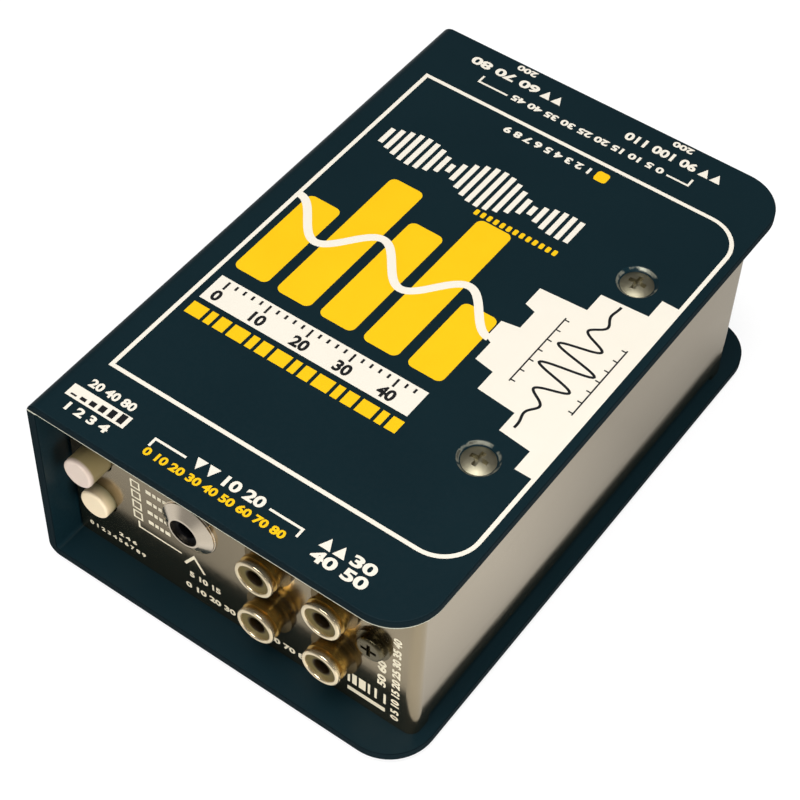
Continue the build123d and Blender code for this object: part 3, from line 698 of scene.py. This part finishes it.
tick_left = ruler_left + 2.4
tick_pitch = 1.95
tick_back = ruler_back - 0.6
tick_half = 0.24
top_black = Ink(plate_top, "black", "black")
for i in range(23):
    x = tick_left + tick_pitch * i
    reach = 2.2 if i % 5 == 0 else 1.1
    top_black.block(x - tick_half, x + tick_half, tick_back - reach, tick_back)
for i in range(5):
    top_black.number(str(10 * i), tick_left + 5 * tick_pitch * i, ruler_front + 2.1, 2.8)

# The chart's trace swings as a sine that a bell curve makes stronger in its middle.
trace_x = 30.5
trace_swing = 5.2
trace_period = 6.0
trace_middle = 1.0
trace_spread = 9.0
rule_half = 0.15
rule_left = 23.8
rule_right = 37.2
y = np.linspace(-17.0, 19.0, 145)
swing = trace_swing * np.sin(2 * pi * y / trace_period) * np.exp(-((y - trace_middle) / trace_spread) ** 2)
top_black.stroke(np.stack((trace_x + swing, y), axis=1), 0.55)
for x in (rule_left, rule_right):
    top_black.block(x - rule_half, x + rule_half, -8.5, 10.5)
for i in range(7):
    y = -8.0 + 3.0 * i
    top_black.block(rule_right - 1.0, rule_right, y - rule_half, y + rule_half)
    top_black.block(rule_left, rule_left + 1.0, y - rule_half, y + rule_half)
top_black.finish("top_print_black")


# ---- print along the two ends of the top plate ----
# Marks over each connector: brackets that join a group, arrows out of or into the box, plain numbers, and
# a boxed staircase over the push buttons.

front_white = Ink(plate_top, "white", "white")
front_white.number("20 40 80", -30.5, -54.1, 2.0, 10.4)
front_white.block(-37.7, -24.2, -58.9, -56.0)
front_white.number("1 2 3 4", -30.8, -60.7, 2.0, 9.6)
front_white.stroke([(-18.1, -59.0), (-18.1, -57.1), (-11.2, -57.1)], 0.5)
front_white.stroke([(7.2, -57.1), (14.4, -57.1), (14.4, -59.0)], 0.5)
front_white.arrows(-9.6, -58.1, 2.4, 2, 2.8, way=-1)
front_white.number("10 20", 1.6, -56.9, 2.5, 8.8)
front_white.arrows(18.4, -58.1, 2.4, 2, 2.9)
front_white.number("30", 27.2, -56.9, 2.5, 5.0)
front_white.number("40 50", 24.2, -60.0, 2.6, 11.6)
front_white.finish("front_print_white")

front_yellow = Ink(plate_top, "yellow", "yellow")
front_yellow.number("0 10 20 30 40 50 60 70 80", -2.7, -60.1, 1.9, 31.0)
front_yellow.finish("front_print_yellow")

stair_pitch = 2.1
stair_rise = 0.36
front_black = Ink(plate_top, "black", "black")
for i in range(6):
    along = stair_pitch * i
    front_black.block(-36.8 + along, -35.5 + along, -58.4, -58.0 + stair_rise * i)
front_black.finish("front_print_black")

rear_end = Sheet((0, 0, shell_high.z / mm), (-1, 0, 0), (0, -1, 0))
rear_white = Ink(rear_end, "white", "white")
for x, figures in ((19.8, "60 70 80"), (-17.6, "90 100 110")):
    rear_white.arrows(x - 11.0, -60.7, 2.3, 2, 2.7, way=-1)
    rear_white.number(figures, x + 3.0, -59.5, 2.4, 16.4)
    rear_white.number("200", x, -63.2, 1.6, 4.6)
rear_white.stroke([(-23.8, -56.5), (-23.8, -54.5), (-18.9, -54.5)], 0.45)
rear_white.stroke([(19.0, -54.5), (26.0, -54.5), (26.0, -56.5)], 0.45)
rear_white.number("0 5 10 15 20 25 30 35 40 45", 0.0, -54.8, 1.7, 36.0)
rear_white.number("1 2 3 4 5 6 7 8 9", 3.8, -46.1, 1.9, 20.4)
rear_white.finish("rear_print_white")


# ---- print on the front panel ----
# Cream marks on the bare steel: a ladder of switch settings with its leader line, an arrow under the jack,
# rows of plain numbers along the bottom and up the right-hand side, and bars beside them.

panel_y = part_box("chassis")[0].y / mm
panel_face = Sheet((0, panel_y, 0), (1, 0, 0), (0, 0, 1))
ladder_low = 18.6
ladder_pitch = 3.1
panel = Ink(panel_face, "cream", "white")
for i in range(4):
    z = ladder_low + ladder_pitch * i
    panel.stroke([(-25.1, z), (-23.2, z), (-23.2, z + 2.0), (-25.1, z + 2.0)], 0.35, closed=True)
    panel.bars(-21.6, z + 0.5, 1.0, "3121213", 0.4)
panel.stroke([(-24.1, 17.8), (-24.1, 16.0), (-14.0, 16.0)], 0.4)
panel.stroke([(-13.2, 13.6), (-10.9, 17.2), (-8.6, 13.6)], 0.6)
panel.number("5 10 15", -8.6, 11.0, 1.7, 7.4)
panel.number("0 10 20 30 40 50 60 70 80", 1.3, 6.9, 1.7, 29.5)
panel.number("0 1 2 3 4 5 6 7 8 9", -30.4, 6.9, 1.2, 14.0)
panel.number("2 4 6", -27.6, 9.2, 1.1, 4.4)
panel.bars(24.6, 9.0, 3.2, "11213112131", 0.5)
panel.block(24.6, 33.0, 6.3, 7.5)
panel.finish("panel_print")

panel_side = Sheet((0, panel_y, 0), (0, 0, 1), (-1, 0, 0))
upright = Ink(panel_side, "cream", "white")
upright.number("0 5 10 15 20 25 30 35 40", 18.9, -35.1, 1.8, 26.5)
upright.number("50 60", 18.4, -32.0, 1.9, 8.2)
upright.finish("panel_print_upright")


# ---- base pad ----
# A black rubber sheet glued under the bottom plate, so that the box neither slides nor scratches. It is cut
# short of the plate's edges and clear of its two screws.

dress("base_pad", grained("black_rubber", colour(18, 18, 19), colour(26, 26, 27), (0.75, 0.9), fine=3000.0,
                          broad=200.0, bump=0.4, depth=0.05))


# ---- cover screws and clinch nuts ----
# Zinc plated steel screws with a raised countersunk head, two above and two below, and the nuts
# pressed into the chassis that they turn in.

zinc_screw = grained("zinc_screw", colour(150, 146, 122), colour(168, 160, 138), (0.4, 0.5), fine=1600.0,
                     broad=120.0, bump=0.04, depth=0.005, metallic=1.0)
dress("cover_screws_top", zinc_screw)
dress("cover_screws_base", zinc_screw)

zinc_hardware = grained("zinc_hardware", colour(150, 150, 148), colour(178, 178, 175), (0.3, 0.45),
                        fine=2500.0, broad=200.0, bump=0.1, depth=0.01, metallic=1.0)
for node in ("clinch_nuts", "board_spacers", "board_screws", "ground_nut", "xlr_nuts"):
    dress(node, zinc_hardware)


# ---- phono sockets ----
# Black moulded blocks behind the panel carry turned brass sleeves with a gold flash, each round a
# plastic core and a sprung contact.

def make_depth_share():
    """How far a point lies from one depth to another along Y, from 0 to 1."""
    group, enter, leave = new_group("depth_share", {"From": 0.0, "To": 1.0}, ("Share",))
    share = ramp(group, axes_of(group)["Y"], enter.outputs["From"], enter.outputs["To"])
    wire(group, share, leave.inputs["Share"])
    return group


bore_fade = 0.5 * mm


def make_bore_share():
    """1 within a radius of an axis along Y, running out to 0 just beyond it."""
    group, enter, leave = new_group("bore_share", {"Centre": (0.0, 0.0, 0.0), "Radius": 0.001}, ("Share",))
    radius = enter.outputs["Radius"]
    points = {0: spot_of(group), 1: enter.outputs["Centre"]}
    away = put(group, "ShaderNodeVectorMath", points, operation="SUBTRACT").outputs[0]
    flat = put(group, "ShaderNodeVectorMath", {0: away, 1: (1.0, 0.0, 1.0)}, operation="MULTIPLY").outputs[0]
    rim = calculate(group, "ADD", radius, bore_fade)
    wire(group, ramp(group, length_of(group, flat), rim, radius), leave.inputs["Share"])
    return group


depth_share = make_depth_share()
bore_share = make_bore_share()


def run_back(material, start, end, tone):
    """Runs a material's colour over to another tone between two depths along Y, to paint shade and
    reflection.
    """
    tree = material.node_tree
    share = put(tree, "ShaderNodeGroup", {"From": start, "To": end}, node_tree=depth_share).outputs["Share"]
    paint_over(tree, share, tone)


def darken_bore(material, centre, radius, tone):
    """Runs a material's colour over to a dark tone round a bore along Y, as painted shade in the bore."""
    tree = material.node_tree
    bore = put(tree, "ShaderNodeGroup", {"Centre": centre, "Radius": radius}, node_tree=bore_share)
    paint_over(tree, bore.outputs["Share"], tone)


gold = grained("gilt_sleeve", colour(246, 226, 186), colour(252, 236, 202), (0.24, 0.27), fine=1800.0,
               broad=260.0, bump=0.02, depth=0.001, metallic=0.92)
# Each sleeve is painted darker behind its front ring and darker still near the panel: painted shade under
# the top plate and a painted reflection of the dark ledge.
run_back(gold, -62.0 * mm, -61.2 * mm, colour(184, 148, 74))
run_back(gold, -59.6 * mm, -58.6 * mm, colour(110, 92, 54))
contact = grained("spring_contact", colour(120, 92, 48), colour(150, 118, 62), (0.3, 0.45), fine=2600.0,
                  broad=300.0, bump=0.08, depth=0.01, metallic=1.0)
black_moulding = grained("black_moulding", colour(20, 20, 21), colour(30, 30, 31), (0.35, 0.5), fine=2600.0,
                         broad=150.0, bump=0.15, depth=0.02)

for use in ("out", "in"):
    dress(f"phono_block_{use}", black_moulding)
    for side in ("left", "right"):
        low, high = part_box(f"phono_insulator_{use}_{side}")
        core = grained(f"socket_insulator_{use}_{side}", colour(84, 74, 40), colour(98, 86, 50), (0.45, 0.6),
                       fine=2600.0, broad=300.0, bump=0.08, depth=0.02, **{"Specular IOR Level": 0.15})
        # Each core is painted dark round its bore: painted shade in the hole.
        darken_bore(core, (low + high) / 2, 1.75 * mm, colour(30, 20, 6))
        dress(f"phono_sleeve_{use}_{side}", gold)
        dress(f"phono_insulator_{use}_{side}", core)
        dress(f"phono_contact_{use}_{side}", contact)


# ---- small jack ----
# A board-mounted jack whose black threaded nose comes through the panel, where a nickel plated washer and a
# cone-faced dress nut clamp it.

nickel = grained("nickel_nut", colour(240, 224, 200), colour(250, 236, 214), (0.16, 0.2), fine=2200.0,
                 broad=220.0, bump=0.02, depth=0.001, metallic=1.0)
for node in ("minijack_washer", "minijack_nut"):
    dress(node, nickel)
dress("minijack_body", black_moulding)
dress("minijack_nose", grained("black_nose", colour(5, 5, 7), colour(8, 8, 10), (0.5, 0.65), fine=2600.0,
                               broad=200.0, bump=0.1, depth=0.02, **{"Specular IOR Level": 0.08}))
dress("minijack_contacts", contact)


# ---- push buttons ----
# Two moulded ivory caps pressed on plunger rods, each over its own latching switch. The switches stand on a
# small upright board behind the panel.

plunger = grained("plunger_plastic", colour(200, 200, 196), colour(215, 215, 211), (0.35, 0.5), fine=2200.0,
                  broad=180.0, bump=0.08, depth=0.02)
switch_case = grained("switch_body", colour(60, 58, 54), colour(84, 82, 78), (0.35, 0.5), fine=2200.0,
                      broad=120.0, bump=0.1, depth=0.02)
spring_wire = grained("spring_wire", colour(150, 150, 150), colour(190, 190, 190), (0.2, 0.3), fine=3000.0,
                      broad=300.0, bump=0.05, depth=0.005, metallic=1.0)

# Each cap's side is painted darker and more olive behind its face: painted shade under the top plate and a
# painted reflection. The lower cap's side first runs to a lit tan. The upper cap's face has a darker tone
# than the lower one's, as painted shade. A row says where a tone starts and where it is full, in mm behind
# the face, and the tone.
cap_faces = {"upper": (colour(188, 171, 157), colour(198, 180, 167)),
             "lower": (colour(216, 198, 166), colour(226, 208, 176))}
cap_side_painted_shade = {"upper": ((0.7, 1.2, colour(126, 112, 76)),),
             "lower": ((0.4, 0.8, colour(206, 186, 150)), (0.9, 2.6, colour(120, 113, 80)))}
for which in ("upper", "lower"):
    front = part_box(f"button_cap_{which}")[0].y
    ivory = grained(f"ivory_cap_{which}", *cap_faces[which], (0.32, 0.42), fine=2200.0, broad=180.0,
                    bump=0.05, depth=0.02)
    for start, end, tone in cap_side_painted_shade[which]:
        run_back(ivory, front + start * mm, front + end * mm, tone)
    dress(f"button_cap_{which}", ivory)
    dress(f"button_plunger_{which}", plunger)
    dress(f"switch_body_{which}", switch_case)
    dress(f"switch_spring_{which}", spring_wire)


# ---- ground terminal ----
# A nickel plated binding screw with a captive washer under its head, for the ground wire of a turntable. It
# turns in a nut behind the panel.

# The nickel is given a dark olive tone instead of bare nickel's own colour: a painted reflection of the dark
# ledge below it.
ground_nickel_painted_dark = grained("ground_hardware", colour(86, 79, 58), colour(122, 113, 87), (0.24, 0.34),
                       fine=2500.0, broad=260.0, bump=0.05, depth=0.004, metallic=1.0)
dress("ground_screw", ground_nickel_painted_dark)
dress("ground_washer", ground_nickel_painted_dark)


# ---- balanced output sockets ----
# Two nickel plated die castings, each bored for a cable connector, with a black insert, three silver
# plated pins and two pan-head screws.

casting = grained("xlr_die_casting", colour(140, 136, 126), colour(162, 158, 148), (0.3, 0.42), fine=1800.0,
                  broad=120.0, bump=0.12, depth=0.02, metallic=1.0)
pin_silver = grained("xlr_pin", colour(200, 198, 190), colour(224, 222, 214), (0.15, 0.25), fine=2400.0,
                     broad=240.0, bump=0.04, depth=0.005, metallic=1.0)
insert = grained("xlr_insert", colour(16, 16, 17), colour(24, 24, 25), (0.4, 0.55), fine=2600.0, broad=150.0,
                 bump=0.1, depth=0.02)
for side in ("left", "right"):
    dress(f"xlr_shell_{side}", casting)
    dress(f"xlr_insert_{side}", insert)
    dress(f"xlr_pins_{side}", pin_silver)
xlr_screw = grained("xlr_screw", colour(30, 30, 31), colour(42, 42, 44), (0.3, 0.42), fine=2500.0,
                    broad=240.0, bump=0.08, depth=0.01, metallic=0.8)
dress("xlr_screws", xlr_screw)


# ---- power inlet ----
# A barrel inlet soldered to the board: a black moulding with a bore that opens through the rear panel, and a
# plated centre pin.

dress("power_inlet_body", black_moulding)
dress("power_inlet_pin", pin_silver)


# ---- circuit board and its parts ----
# A green laminate board with sleeved electrolytic capacitors, boxed film capacitors, eight-pin chips,
# resistors and transistors. The closed casing hides it.

laminate = grained("board_laminate", colour(24, 74, 44), colour(34, 92, 56), (0.3, 0.42), fine=2500.0,
                   broad=200.0, bump=0.08, depth=0.02)
sleeve_film = grained("capacitor_sleeve", colour(22, 28, 62), colour(30, 38, 78), (0.22, 0.32), fine=2500.0,
                      broad=200.0, bump=0.06, depth=0.02)
film_box = grained("film_capacitor_box", colour(120, 26, 22), colour(146, 36, 30), (0.32, 0.45), fine=2500.0,
                   broad=200.0, bump=0.08, depth=0.02)
chip = grained("chip_moulding", colour(22, 22, 23), colour(32, 32, 34), (0.5, 0.62), fine=3000.0,
               broad=240.0, bump=0.15, depth=0.02)
resistor = grained("resistor_body", colour(120, 150, 170), colour(140, 168, 186), (0.35, 0.45), fine=2500.0,
                   broad=240.0, bump=0.06, depth=0.02)
for node in ("circuit_board", "switch_riser_board"):
    dress(node, laminate)
dress("electrolytic_capacitors", sleeve_film)
dress("film_capacitors", film_box)
dress("amplifier_chips", chip)
dress("transistors", chip)
dress("resistors", resistor)
